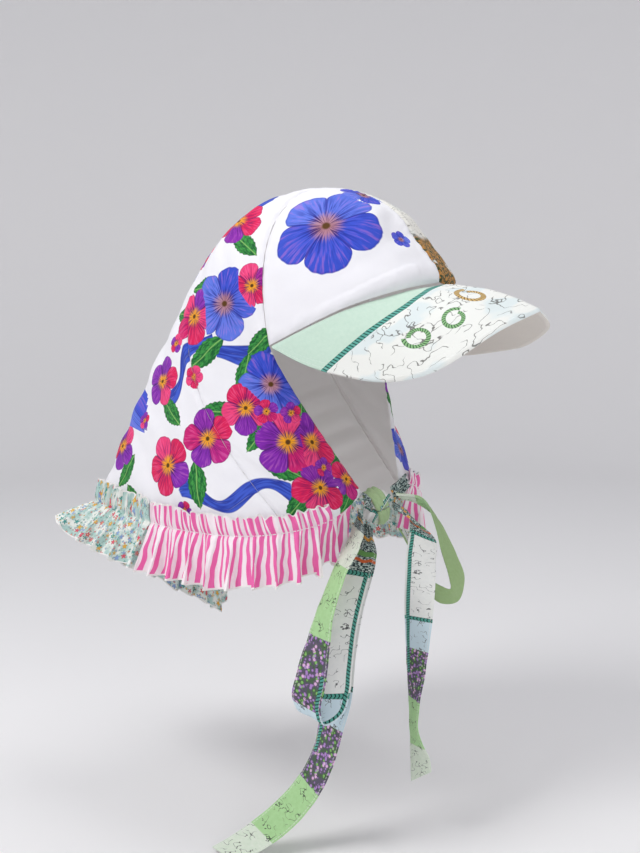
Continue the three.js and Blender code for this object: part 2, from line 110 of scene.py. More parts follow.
peakEdgeLeft = table("at x y z", [
    (0, 82.5, 1, -124), (0.12, 88, -32, -133), (0.3, 90, -72, -136), (0.5, 85, -112, -131),
    (0.68, 74, -143, -124), (0.85, 46, -173, -108), (1, 0, -184, -95)])
ruffleFlare = table("at degrees", [
    (-1, -14), (-0.9, -10), (-0.8, 8), (-0.7, 16), (-0.56, 16), (-0.48, 36), (-0.4, 66),
    (-0.32, 44), (-0.15, 16), (0.15, 12), (0.7, 14), (0.85, 4), (1, -12)])


def smooth(a, b, x):
    # 0 below a, 1 above b, with an S between
    t = np.clip((x - a) / (b - a), 0, 1)
    return t * t * (3 - 2 * t)


def bell(x, width):
    # exp(-(x/width)^2)
    return np.exp(-((x / width) ** 2))


def norm(v):
    return np.linalg.norm(v, axis=-1)


def unit(v):
    return v / np.maximum(norm(v)[..., None], 1e-9)


def stack(x, y, z):
    return np.stack(np.broadcast_arrays(x, y, z), -1)


def crown(around, down, side):
    # quarter ellipse from the apex to the edge table's point, sunk above a roll of cloth along the peak
    x, y, z, turn = read(crownEdge, around, "x", "y", "z", "round")
    turn = turn * math.pi / 2
    a = down * turn
    out = np.sin(a) / np.sin(turn)
    fall = (1 - np.cos(a)) / (1 - np.cos(turn))
    lean = seamLean * (1 - smooth(0, 0.7, around)) * np.sin(math.pi * down)
    p = stack(x * out * side, apex[1] + (y - apex[1]) * out + lean, apex[2] + (z - apex[2]) * fall)
    sink = smooth(0.55, 0.85, around) * 5 * bell(down - 0.7, 0.12)
    roll = smooth(0.3, 0.7, around) * 2.5 * bell(down - 0.93, 0.06)
    flat = unit(stack(p[..., 0], p[..., 1] - apex[1], 0 * out))
    return p + flat * (roll - sink)[..., None]


def hood(around, down, side):
    # a quarter ellipse over the head, then a cubic curve that leaves along it and ends at the hem
    row = readSides(hoodRight, hoodLeft, side, around, *hoodNames.split()[1:])
    reachX, reachY, depth, leave, hemX, hemY, hemZ, hang = row
    turn = leave * math.pi / 2
    reach = stack(reachX * side, reachY, -depth) - apex
    share = np.clip(down / domeShare, 0, 1)

    def onHead(a):
        return apex + reach * stack(np.sin(a), np.sin(a), 1 - np.cos(a))

    head = onHead(share * turn)
    head[..., 1] += seamLean * (1 - smooth(0, 0.5, around)) * np.sin(math.pi * share)
    start = onHead(turn)
    way = unit(reach * stack(np.cos(turn), np.cos(turn), np.sin(turn)))
    end = stack(hemX * side, hemY, hemZ)
    length = norm(end - start)[..., None]
    first = start + way * length * hang[..., None]
    second = end + unit(first - end) * length / 3
    t = np.clip((down - domeShare) / (1 - domeShare), 0, 1.2)[..., None]
    loose = (1 - t)**3 * start + 3 * (1 - t)**2 * t * first + 3 * (1 - t) * t**2 * second + t**3 * end
    return np.where((down < domeShare)[..., None], head, loose)


def visor(around, out, side):
    # straight from the crown's edge to the peak's edge, arched in the middle
    root = crown(around, 1 + 0 * out, side) - [0, 0, 1.5]
    x, y, z = readSides(peakEdgeRight, peakEdgeLeft, side, around, "x", "y", "z")
    p = root + (stack(x * side, y, z) - root) * out[..., None]
    p[..., 2] += 5 * np.sin(math.pi * out) * np.sin(math.pi / 2 * around)
    return p


def ripple(x, y, length, seed):
    # sum of six sine waves of about one length in seeded directions, between about -1 and 1
    rng = np.random.default_rng(seed)
    total = 0
    draws = rng.uniform(0, tau, 6), rng.uniform(0, tau, 6), rng.uniform(0.75, 1.3, 6)
    for way, shift, stretch in zip(*draws):
        total = total + np.sin((x * math.cos(way) + y * math.sin(way)) * tau / (length * stretch) + shift)
    return total / 3.5


def normalsOf(points, centre=(0, 20, -150)):
    # cross product of the grid's two directions, turned away from the centre as a whole
    normal = unit(np.cross(np.gradient(points, axis=1), np.gradient(points, axis=0)))
    return normal if (normal * (points - np.array(centre))).sum() > 0 else -normal


def spans(points, axis):
    # length along the grid lines from the first one, in mm
    steps = norm(np.diff(points, axis=axis))
    pad = [(0, 0), (0, 0)]
    pad[axis] = (1, 0)
    return np.cumsum(np.pad(steps, pad), axis=axis)


def travelled(line):
    # length along a line of points from its first one
    return np.r_[0, np.cumsum(norm(np.diff(line, axis=0)))]


def grid(columns, rows):
    return np.meshgrid(np.linspace(0, 1, columns + 1), np.linspace(0, 1, rows + 1))


def link(name, data):
    item = bpy.data.objects.new(name, data)
    bpy.context.scene.collection.objects.link(item)
    return item


def wallMesh(name, outer, inner, cloth, edge):
    # closed wall: the outer grid, the inner grid turned round, and four strips that join their edges.
    # UV map cloth is mm on the cloth; UV map edge is mm to the nearest edge, and 0 outside or 1 inside
    rows, columns = outer.shape[:2]
    index = np.arange(rows * columns).reshape(rows, columns)
    count = rows * columns

    def quads(a, b, c, d):
        return np.stack([a.ravel(), b.ravel(), c.ravel(), d.ravel()], 1)

    face = quads(index[:-1, :-1], index[:-1, 1:], index[1:, 1:], index[1:, :-1])
    back = face[:, ::-1] + count
    strips = []
    for line in (index[0, ::-1], index[-1, :], index[:, 0], index[::-1, -1]):
        strips.append(quads(line[:-1], line[1:], line[1:] + count, line[:-1] + count)[:, ::-1])
    faces = np.concatenate([face, back] + strips)
    points = np.concatenate([outer.reshape(-1, 3), inner.reshape(-1, 3)])
    a, b, c = points[faces[:, 0]], points[faces[:, 1]], points[faces[:, 2]]
    d = points[faces[:, 3]]
    if np.sum(a * np.cross(b, c)) + np.sum(a * np.cross(c, d)) < 0:
        faces = faces[:, ::-1]
    mesh = bpy.data.meshes.new(name + "_cloth")
    mesh.from_pydata(points * 0.001, [], faces)
    mesh.polygons.foreach_set("use_smooth", np.ones(len(faces), bool))
    corner = faces.ravel()
    rest = len(faces) - len(face) - len(back)
    inside = np.repeat(np.r_[np.zeros(len(face)), np.ones(len(back)), np.full(rest, 0.5)], 4)
    both = np.concatenate([cloth.reshape(-1, 2)] * 2)
    mesh.uv_layers.new(name="cloth").data.foreach_set("uv", both[corner].ravel())
    near = np.concatenate([edge.ravel()] * 2)[corner]
    mesh.uv_layers.new(name="edge").data.foreach_set("uv", np.stack([near, inside], 1).ravel())
    mesh.uv_layers["cloth"].active_render = True
    piece = link(name + "_cloth", mesh)
    mesh.set_sharp_from_angle(angle=math.radians(50))
    return piece, faces


def addMotifs(piece, faces, rest, layer, motifs):
    # each face takes its nearest motif (distance over size); each corner gets its place on the motif's
    # flat frame, in motif sizes, and the motif's seed
    points = np.concatenate([rest.reshape(-1, 3)] * 2)
    centre = points[faces].mean(1)
    far = np.full(len(faces), 1e9)
    local = np.full((len(faces), 4, 3), 9.0)
    for place, across, along, size, seed in motifs:
        distance = norm(centre - place) / size
        pick = distance < far
        far[pick] = distance[pick]
        away = (points[faces[pick]] - place) / size
        local[pick] = np.stack([away @ across, away @ along, np.full(away.shape[:2], seed)], -1)
    attribute = piece.data.attributes.new(layer, "FLOAT_VECTOR", "CORNER")
    attribute.data.foreach_set("vector", local.ravel())


def motifRows(surface, rows, grow=1.0):
    # motif frames from rows of round, down, size in mm, turn in degrees, seed, side
    out = []
    for around, down, size, turn, seed, side in rows:
        spots = (around, down), (around + 0.01, down), (around, down + 0.01)
        place, right, low = [surface(*map(np.array, (a, d, side))) for a, d in spots]
        across = unit(right - place)
        normal = unit(np.cross(across, low - place))
        below = np.cross(normal, across)
        c, s = math.cos(math.radians(turn)), math.sin(math.radians(turn))
        out.append((place, across * c + below * s, below * c - across * s, size * grow, seed))
    return out


# materials

def tint(code):
    # a screen colour in hex as linear light
    parts = [int(code[i:i + 2], 16) / 255 for i in (0, 2, 4)]
    return tuple(p / 12.92 if p < 0.04045 else ((p + 0.055) / 1.055) ** 2.4 for p in parts) + (1,)


def operator(kind):
    # an operator and its reflected form
    return (lambda a, b: a.shader.math(kind, a, b)), (lambda a, b: a.shader.math(kind, b, a))


class Wire:
    # an output socket with arithmetic
    __add__, __radd__ = operator("ADD")
    __sub__, __rsub__ = operator("SUBTRACT")
    __mul__, __rmul__ = operator("MULTIPLY")
    __truediv__, __rtruediv__ = operator("DIVIDE")

    def __init__(self, shader, socket):
        self.shader = shader
        self.socket = socket

    def __abs__(self):
        return self.shader.math("ABSOLUTE", self)

    def __gt__(self, other):
        return self.shader.math("GREATER_THAN", self, other)


class Shader:
    def __init__(self, name, roughness=0.85, sheen=0.25):
        self.material = bpy.data.materials.new(name)
        self.material.use_nodes = True
        self.nodes = self.material.node_tree.nodes
        self.links = self.material.node_tree.links
        self.surface = self.nodes["Principled BSDF"]
        fixed = {"Roughness": roughness, "Sheen Weight": sheen, "Sheen Roughness": 0.5,
                 "Specular IOR Level": 0.25}
        for key, value in fixed.items():
            self.surface.inputs[key].default_value = value

    def add(self, kind, values=None, out=0, **settings):
        # one node from its type, settings and sockets' values or links; out names one output or several
        node = self.nodes.new("ShaderNode" + kind)
        for key, value in settings.items():
            setattr(node, key, value)
        for key, value in (values or {}).items():
            if isinstance(value, Wire):
                self.links.new(value.socket, node.inputs[key])
            else:
                node.inputs[key].default_value = value
        if isinstance(out, tuple):
            return [Wire(self, node.outputs[o]) for o in out]
        return Wire(self, node.outputs[out])

    def math(self, kind, *values):
        return self.add("Math", dict(enumerate(values)), operation=kind)

    def mix(self, factor, a, b):
        # colours given in hex are turned to linear light
        a, b = [tint(c) if isinstance(c, str) else c for c in (a, b)]
        return self.add("Mix", {0: factor, 6: a, 7: b}, out=2, data_type="RGBA")

    def soft(self, low, high, value):
        return self.add("MapRange", {0: value, 1: low, 2: high}, interpolation_type="SMOOTHSTEP")

    def join(self, x, y, z=0):
        return self.add("CombineXYZ", {0: x, 1: y, 2: z})

    def split(self, vector):
        return self.add("SeparateXYZ", {0: vector}, out=(0, 1, 2))

    def noise(self, vector, scale, detail=2):
        return self.add("TexNoise", {"Vector": vector, "Scale": scale, "Detail": detail})

    def patches(self, *place):
        return self.noise(self.join(*place), 1, 1)

    def cells(self, vector, scale):
        # distance to the nearest cell's point in mm, the cell's three random values, and its point
        near, hue, centre = self.add("TexVoronoi", {"Vector": vector, "Scale": scale},
                                     out=("Distance", "Color", "Position"))
        return near / scale, self.split(hue), centre

    def whole(self, value):
        return self.math("FLOOR", value)

    def random(self, x, y=0):
        return self.add("TexWhiteNoise", {"Vector": self.join(x, y)}, noise_dimensions="3D")

    def uv(self, name):
        return self.split(self.add("UVMap", uv_map=name))

    def motif(self, name):
        return self.split(self.add("Attribute", out=1, attribute_name=name))

    def finish(self, colour, height, strength=0.5, distance=0.0006):
        self.links.new(colour.socket, self.surface.inputs["Base Color"])
        bump = self.add("Bump", {"Strength": strength, "Distance": distance, "Height": height})
        self.links.new(bump.socket, self.surface.inputs["Normal"])
        return self.material


def clothShader(name, roughness=0.82, sheen=0.06):
    # the shader, the place on the cloth in mm, and the edge map
    s = Shader(name, roughness, sheen)
    x, y, _ = s.uv("cloth")
    return s, x, y, s.uv("edge")


def weave(s, x, y, pitch):
    # threads that go over and under: product of two sines, with uneven slubs
    threads = s.math("SINE", x * (tau / pitch)) * s.math("SINE", y * (tau / pitch))
    slubs = s.patches(x * 0.12, y * 1.4) + s.patches(x * 1.4, y * 0.12)
    return threads * 0.25 + slubs * 0.5


def stitches(s, along, away, place, pitch=2.6):
    # a dashed line at one distance from an edge, 1 on the thread
    dash = s.math("FRACT", along / pitch)
    return s.soft(0.42, 0.3, abs(dash - 0.5)) * s.soft(0.45, 0.25, abs(away - place))


def lined(s, colour, edgeUv, lining):
    # the lining's colour on the inner face
    return s.mix(s.soft(0.2, 0.4, edgeUv[1]), colour, lining)


bloomLook = {
    "magenta": "df1c58", "violet": "8526ae", "pink": "f0427c", "eye": "f9a818",
    "dark": "380a5c", "blue": "3750cc", "blueDeep": "182390", "bluePale": "6079e2"}


def bloom(s, under, layer):
    # five round petals about an eye: petal edge = 0.6 + 0.3 |cos 2.5 angle|^0.45 and some noise. Each
    # petal has a colour from the seed, dark streaks run outwards, and dark lines part the petals. Seeds
    # from 1 up are blue
    look = bloomLook
    x, y, seed = s.motif(layer)
    far = s.math("SQRT", x * x + y * y)
    angle = s.math("ARCTAN2", y, x)
    lobe = abs(s.math("COSINE", angle * 2.5))
    wobble = s.noise(s.join(angle * 2.6, seed * 9), 1) * 0.16
    edge = 0.60 + 0.30 * s.math("POWER", lobe, 0.45) + wobble
    petal = s.random(s.whole(angle * (5 / tau) + 0.5), s.whole(seed * 97))
    streak = s.noise(s.join(angle * 9, far * 1.6, seed * 5), 1.6)
    isBlue = seed > 0.999
    warm = s.mix(s.soft(0.3, 0.5, petal), look["magenta"], look["violet"])
    warm = s.mix(s.soft(0.78, 0.8, petal), warm, look["pink"])
    cool = s.mix(s.soft(0.35, 0.65, petal), look["blue"], look["bluePale"])
    colour = s.mix(isBlue, warm, cool)
    deep = s.mix(isBlue, look["dark"], look["blueDeep"])
    shade = s.soft(0.48, 0.64, streak) * 0.8 + s.soft(0.5, 0, far) * 0.45
    colour = s.mix(shade * s.soft(1, 0.25, far), colour, deep)
    paler = s.soft(0.5, 0.34, streak) * s.soft(0.3, 0.8, far) * 0.22
    colour = s.mix(paler, colour, "f08ccc")
    rim = s.soft(0.07, 0, edge - far) * 0.55
    between = s.soft(0.16, 0.05, lobe) * s.soft(0.12, 0.3, far) * 0.7
    colour = s.mix(s.math("MAXIMUM", rim, between), colour, deep)
    glow = s.soft(0.36, 0.12, far + (streak - 0.5) * 0.5)
    colour = s.mix(glow * (1 - isBlue * 0.55), colour, look["eye"])
    whisker = s.soft(0.5, 0.58, streak) * s.soft(0.06, 0.14, far) * s.soft(0.4, 0.24, far)
    colour = s.mix(whisker * 0.75, colour, look["dark"])
    colour = s.mix(s.soft(0.1, 0.05, far), colour, "5a3a12")
    return s.mix(s.soft(0, 0.025, edge - far), under, colour)


def leaf(s, under, layer):
    # a pointed oval with toothed edges, a pale middle rib and slanting veins
    x, y, seed = s.motif(layer)
    tooth = abs(s.math("FRACT", x * 4.5 - abs(y) * 2) - 0.5) * 0.09
    width = 0.46 * (1 - x * x) - tooth
    inside = width - abs(y)
    vein = s.soft(0.12, 0.02, abs(s.math("FRACT", x * 4 - abs(y) * 3.5) - 0.5))
    rib = s.soft(0.035, 0.01, abs(y))
    grain = s.noise(s.join(x * 3, y * 9, seed * 7), 1.5)
    colour = s.mix(s.soft(0.35, 0.65, grain), "14602f", "3f9a45")
    colour = s.mix(vein * 0.5, colour, "0c4423")
    colour = s.mix(rib * 0.8, colour, "8cc36a")
    colour = s.mix(s.soft(0.07, 0, inside) * 0.6, colour, "0c4423")
    return s.mix(s.soft(0, 0.03, inside), under, colour)


def band(s, under, layer):
    # a wavy ribbon: the middle line is a sine of the place along it, and the width swells and narrows
    x, y, seed = s.motif(layer)
    middle = s.math("SINE", x * 4.4 + seed * 8) * 0.16
    width = 0.13 + 0.04 * s.math("SINE", x * 7 + seed * 3)
    away = abs(y - middle)
    ends = s.soft(1, 0.97, abs(x) + away * 0.4)
    streak = s.noise(s.join(x * 2.2, (y - middle) * 22, seed), 1)
    colour = s.mix(s.soft(0.42, 0.62, streak), "3f5ccb", "2438a0")
    colour = s.mix(s.soft(0.6, 0.72, streak) * 0.4, colour, "8c9ce6")
    colour = s.mix(s.soft(0.035, 0, width - away) * 0.6, colour, "1c2a80")
    return s.mix(s.soft(0, 0.02, width - away) * ends, under, colour)


def printedCotton():
    s, x, y, edgeUv = clothShader("printed_cotton", 0.8)
    ground = s.mix(s.noise(s.join(x, y), 0.05) * 0.5, "f4f3f6", "e9e8ef")
    colour = band(s, ground, "ribbons")
    colour = leaf(s, colour, "leavesLow")
    colour = leaf(s, colour, "leaves")
    colour = bloom(s, colour, "blooms")
    colour = bloom(s, colour, "buds")
    colour = lined(s, colour, edgeUv, "eeecea")
    return s.finish(colour, weave(s, x, y, 0.7), 0.35, 0.0004)


def inkMarks(s, x, y, scale, amount):
    # thin broken lines where a stretched noise crosses its middle value
    field = s.noise(s.join(x * scale, y * scale * 1.4), 1, 1.6)
    gaps = s.patches(x * scale * 0.9, y * scale * 0.9, 4)
    return s.soft(0.014, 0.005, abs(field - 0.5)) * s.soft(amount, amount + 0.05, gaps)


def palePrint():
    s, x, y, edgeUv = clothShader("pale_print")
    cell = s.patches(x * 0.05, y * 0.05, 2)
    ground = s.mix(s.soft(0.5, 0.6, cell) * 0.5, "eceae2", "d5dcd8")
    patch = s.soft(0.40, 0.43, s.noise(s.join(x * 0.03, y * 0.04, 7), 1)) * s.soft(92, 98, y)
    patch = patch * s.soft(18, 28, x + 16 * s.patches(y * 0.07, 3))
    tan = s.mix(s.soft(0.45, 0.55, s.noise(s.join(x, y), 0.35)), "c28a45", "3f4a2c")
    colour = s.mix(patch, ground, tan)
    colour = s.mix(inkMarks(s, x, y, 0.11, 0.42) * 0.75, colour, "4a4744")
    colour = lined(s, colour, edgeUv, "eeecea")
    return s.finish(colour, weave(s, x, y, 0.7), 0.35, 0.0004)


def rope(s, under, along, away, width, pale, deep):
    # a twisted cord: slanted dark strokes across a coloured band with dark edges
    inside = width - abs(away)
    stroke = s.math("FRACT", along / (width * 1.5) + away / (width * 2.4))
    colour = s.mix(s.soft(0.1, 0.24, abs(stroke - 0.5)), deep, pale)
    colour = s.mix(s.soft(width * 0.22, 0, inside) * 0.85, colour, deep)
    return s.mix(s.soft(0, width * 0.12, inside), under, colour)


def curl(s, under, layer, pale, deep):
    # one coil of rope about a motif's middle: its radius grows by 0.045 a radian
    x, y, seed = s.motif(layer)
    far = s.math("SQRT", x * x + y * y * 1.3)
    angle = s.math("ARCTAN2", y, x)
    return rope(s, under, angle * 0.8, far - 0.62 - angle * 0.045, 0.14, pale, deep)


def mintLinen():
    s, x, y, edgeUv = clothShader("mint_linen", 0.85)
    slant = (x + 4.13 * y - 10) * (1 / 4.25)
    mint = s.mix(s.noise(s.join(x, y), 0.3, 3), "d3e8d8", "c2ddcc")
    wash = s.soft(0.52, 0.6, s.patches(x * 0.03, y * 0.05, 3))
    white = s.mix(wash * 0.7, "f0f1ec", "dbe8ea")
    colour = s.mix(s.soft(-0.5, 0.5, slant), mint, white)
    marks = inkMarks(s, x, y, 0.075, 0.4) * s.soft(2, 4, slant)
    colour = s.mix(marks * 0.85, colour, "5b5a55")
    colour = rope(s, colour, (y - 4.13 * x) * (1 / 4.25), slant, 2.2, "63aea0", "17463f")
    colour = curl(s, colour, "greenCurls", "8fbf86", "2f5234")
    colour = curl(s, colour, "goldCurls", "d9b878", "6a5130")
    thread = stitches(s, x, edgeUv[0], 4) + stitches(s, x, edgeUv[0], 9) * 0.6
    colour = s.mix(thread * 0.25, colour, "ffffff")
    colour = lined(s, colour, edgeUv, "e9e4dc")
    return s.finish(colour, weave(s, x, y, 0.9) - thread * 0.8, 0.5, 0.0005)


def hemWhite(s, colour, edgeUv, depth=1.7):
    # overlocked edge: close white threads over the cloth's last millimetres
    return s.mix(s.soft(depth, depth - 0.5, edgeUv[0]), colour, "f3f1ee")


def pinkStripe():
    s, x, y, edgeUv = clothShader("pink_stripe")
    wander = s.patches(x * 0.03, y * 0.055) * 9
    stripe = abs(s.math("FRACT", (x + wander) / 10.6) - 0.5)
    pink = s.mix(s.noise(s.join(x * 0.5, y * 0.05), 1), "ee5aa6", "f47fbb")
    colour = s.mix(s.soft(0.235, 0.255, stripe), pink, "f9eff3")
    colour = hemWhite(s, colour, edgeUv)
    thread = stitches(s, x, y, 0, 3)
    colour = s.mix(thread * 0.8, colour, "fbf6f8")
    return s.finish(colour, weave(s, x, y, 0.6) + thread * 0.6, 0.35, 0.0004)


def smallFlowers():
    # scattered flowers: each cell of a jittered lattice has one of 4 or 5 petals in a colour of its own
    s, x, y, edgeUv = clothShader("small_flowers")
    place = s.join(x, y)
    colour = s.mix(s.soft(0.4, 0.6, s.noise(place, 0.12)), "eef0ea", "b4d2cc")
    for scale, reach, petals in ((0.34, 1.1, 4), (0.155, 2.6, 5)):
        near, hue, centre = s.cells(place, scale)
        centreX, centreY, _ = s.split(centre)
        angle = s.math("ARCTAN2", y - centreY, x - centreX)
        edge = reach * (0.75 + 0.25 * s.math("COSINE", angle * petals))
        red = s.mix(s.soft(0.6, 0.65, hue[0]), "e0526a", "e9ae3a")
        cold = s.mix(s.soft(0.45, 0.5, hue[1]), "3f9c9a", "8aa7d8")
        flower = s.mix(s.soft(0.55, 0.57, hue[2]), red, cold)
        colour = s.mix(s.soft(0, 0.25, edge + 0.35 - near) * 0.55, colour, "4f7a58")
        colour = s.mix(s.soft(0, 0.2, edge - near), colour, flower)
        colour = s.mix(s.soft(reach * 0.3, reach * 0.15, near), colour, "f4e6a0")
    colour = hemWhite(s, colour, edgeUv, 1.4)
    return s.finish(colour, weave(s, x, y, 0.6), 0.35, 0.0004)


def tiePrint(name, bothFaces):
    # blocks along 300 mm of tie: ink on pale green, light green, lilac and green flowers, pale blue,
    # then between two rope lines a white block with a rope down one edge, and a dark band; the reverse
    # is sage green
    s, x, y, edgeUv = clothShader(name, 0.85, 0.08)
    place = s.join(x, y)
    run = s.math("FRACT", y / 300) * 300

    def block(start, end):
        return s.soft(start - 0.4, start + 0.4, run) * s.soft(end + 0.4, end - 0.4, run)

    def line(at, half, wave=0):
        away = abs(run - at + s.math("SINE", x * 0.5) * wave)
        return s.soft(half + 0.3, half - 0.3, away)

    mottled = s.noise(place, 0.3)
    colour = s.mix(mottled, "e9efe2", "cfe0c8")
    colour = s.mix(block(36, 86), colour, s.mix(mottled, "b9e0a6", "a3cf90"))
    near, hue, _ = s.cells(place, 0.4)
    dots = s.mix(s.soft(0.6, 0.62, hue[0]), "b28acb", "86c069")
    dots = s.mix(s.soft(0.85, 0.9, hue[2]), dots, "e3b9df")
    dots = s.mix(s.soft(0.9, 1.35, near) * 0.85, dots, "3f4a45")
    colour = s.mix(block(86, 136), colour, dots)
    colour = s.mix(block(136, 166), colour, "d3e6ef")
    colour = s.mix(block(166, 251), colour, s.mix(mottled, "f3f3ef", "e6e8e6"))
    weaveDark = s.noise(s.join(x * 0.5, run * 0.9), 1, 3)
    dark = s.mix(s.soft(0.46, 0.53, weaveDark), "26343a", "9fb8b4")
    dark = s.mix(s.soft(0.56, 0.6, weaveDark), dark, "dfe6e0")
    dark = s.mix(line(263, 1.3, 0.8), dark, "d9683a")
    dark = s.mix(line(269, 2.2, 0.5), dark, "6ea35c")
    dark = s.mix(line(284, 1.6, 1), dark, "e5a84a")
    colour = s.mix(block(253, 299), colour, dark)
    light = s.soft(253, 251, run)
    colour = s.mix(inkMarks(s, x, y, 0.12, 0.47) * light * 0.9, colour, "37363a")
    pale, deep = "58a596", "163a36"
    across = rope(s, colour, x, s.math("MINIMUM", abs(run - 167), abs(run - 252)), 2, pale, deep)
    down = rope(s, across, y, x - 9, 1.7, pale, deep)
    colour = s.mix(block(110, 252), across, down)
    thread = stitches(s, y, edgeUv[0], 1.4)
    colour = s.mix(thread * 0.4, colour, "f5f5f0")
    if not bothFaces:
        sage = s.mix(s.noise(place, 0.4, 3), "abc78f", "98b57c")
        colour = s.mix(s.soft(0.4, 0.6, edgeUv[1]), colour, sage)
    return s.finish(colour, weave(s, x, y, 0.8) - thread * 0.7, 0.5, 0.0005)


def plainReverse():
    s = Shader("sage_reverse", 0.88, 0.08)
    x, y, _ = s.uv("cloth")
    colour = s.mix(s.noise(s.join(x, y), 0.3, 3), "b9d2a4", "a0bb88")
    return s.finish(colour, weave(s, x, y, 0.8), 0.5, 0.0005)


looks = {
    "printed": printedCotton(), "pale": palePrint(), "mint": mintLinen(), "stripe": pinkStripe(),
    "flowers": smallFlowers(), "tie": tiePrint("tie_print", False),
    "tieBoth": tiePrint("tie_print_both", True), "reverse": plainReverse()}


def place(piece, look, node, slotName):
    piece.data.materials.append(looks[look])
    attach(piece, "root")
    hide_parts(node)


def cut(piece, outer):
    # the flat cut: the longest row by the longest column, and the face's area from its quads' diagonals
    wide = spans(outer, 1)[:, -1].max() * 0.001
    long = spans(outer, 0)[-1].max() * 0.001
    first = outer[1:, 1:] - outer[:-1, :-1]
    second = outer[1:, :-1] - outer[:-1, 1:]
    area = norm(np.cross(first, second)).sum() * 0.5e-6
    area = min(area, wide * long)
    print(piece.name, "cut", round(wide, 3), "by", round(long, 3), "m, area", round(area, 4))


# panels

panelLook = {"thickness": 1.4, "turnIn": 1.25, "beside": 0.45, "pucker": 0.42, "puckerLength": 9,
             "waveLength": 52, "small": 0.4, "smallLength": 24, "gap": 0.15}


def seamForm(points, edges, soft, seed):
    # cloth near a seam turns in by exp(-(d/1.7)^2), stands up a little beside it and puckers along it;
    # further in it has slow waves of the given height
    p = panelLook
    near = np.minimum.reduce(edges)
    across, along = spans(points, 1), spans(points, 0)
    lift = p["beside"] * bell(near - 5, 3.5) - p["turnIn"] * bell(near, 1.7)
    lift = lift + p["pucker"] * np.exp(-near / 8) * ripple(across, along, p["puckerLength"], seed)
    inside = 1 - np.exp(-near / 14)
    lift = lift + soft * inside * ripple(across, along, p["waveLength"], seed + 1)
    lift = lift + p["small"] * inside * ripple(across, along, p["smallLength"], seed + 2)
    normal = normalsOf(points)
    outer = points + normal * lift[..., None]
    inner = outer - normalsOf(outer) * p["thickness"]
    cloth = np.stack([across - across[:, across.shape[1] // 2][:, None], along], -1)
    return outer, inner, cloth, near


crownLook = {
    "waves": 1.0, "ledge": 1.1, "ledgeLow": 9, "ledgeRise": 8,
    "blooms": motifRows(crown, [(0.40, 0.55, 44, 18, 1.31, -1), (0.88, 0.30, 20, 40, 1.62, -1)]),
    "buds": motifRows(crown, [(0.86, 0.72, 9, 10, 1.2, -1)]), "leaves": [], "leavesLow": [], "ribbons": []}
motifLayers = ("blooms", "buds", "leaves", "leavesLow", "ribbons")


def crownFront(side, look, slotName):
    # the crown's surface between its two seams, less a small gap at each
    c = crownLook
    u, v = grid(88, 88)
    down = 0.012 + v * 0.988
    width = spans(crown(u, down, side), 1)[:, -1:]
    around = panelLook["gap"] / width + u * (1 - 2 * panelLook["gap"] / width)
    points = crown(around, down, side)
    depth = spans(points, 0)
    edges = [u * width, (1 - u) * width, depth[-1] - depth]
    if side < 0:
        # a turned fold above the peak: a ledge whose top rises towards the front, and which ends before it
        top = c["ledgeLow"] + c["ledgeRise"] * smooth(0.4, 0.85, u)
        ledge = 1 - smooth(-0.7, 0.7, depth[-1] - depth - top)
        ledge = c["ledge"] * ledge * smooth(0.25, 0.5, u) * (1 - smooth(0.84, 0.86, u))
        points = points + normalsOf(points) * ledge[..., None]
    outer, inner, cloth, near = seamForm(points, edges, c["waves"], 11 + side)
    name = "crown_front_" + ("right" if side < 0 else "left")
    piece, faces = wallMesh(name, outer, inner, cloth, near)
    if look == "printed":
        for layer in motifLayers:
            addMotifs(piece, faces, points, layer, c[layer])
    place(piece, look, name, slotName)
    cut(piece, outer)


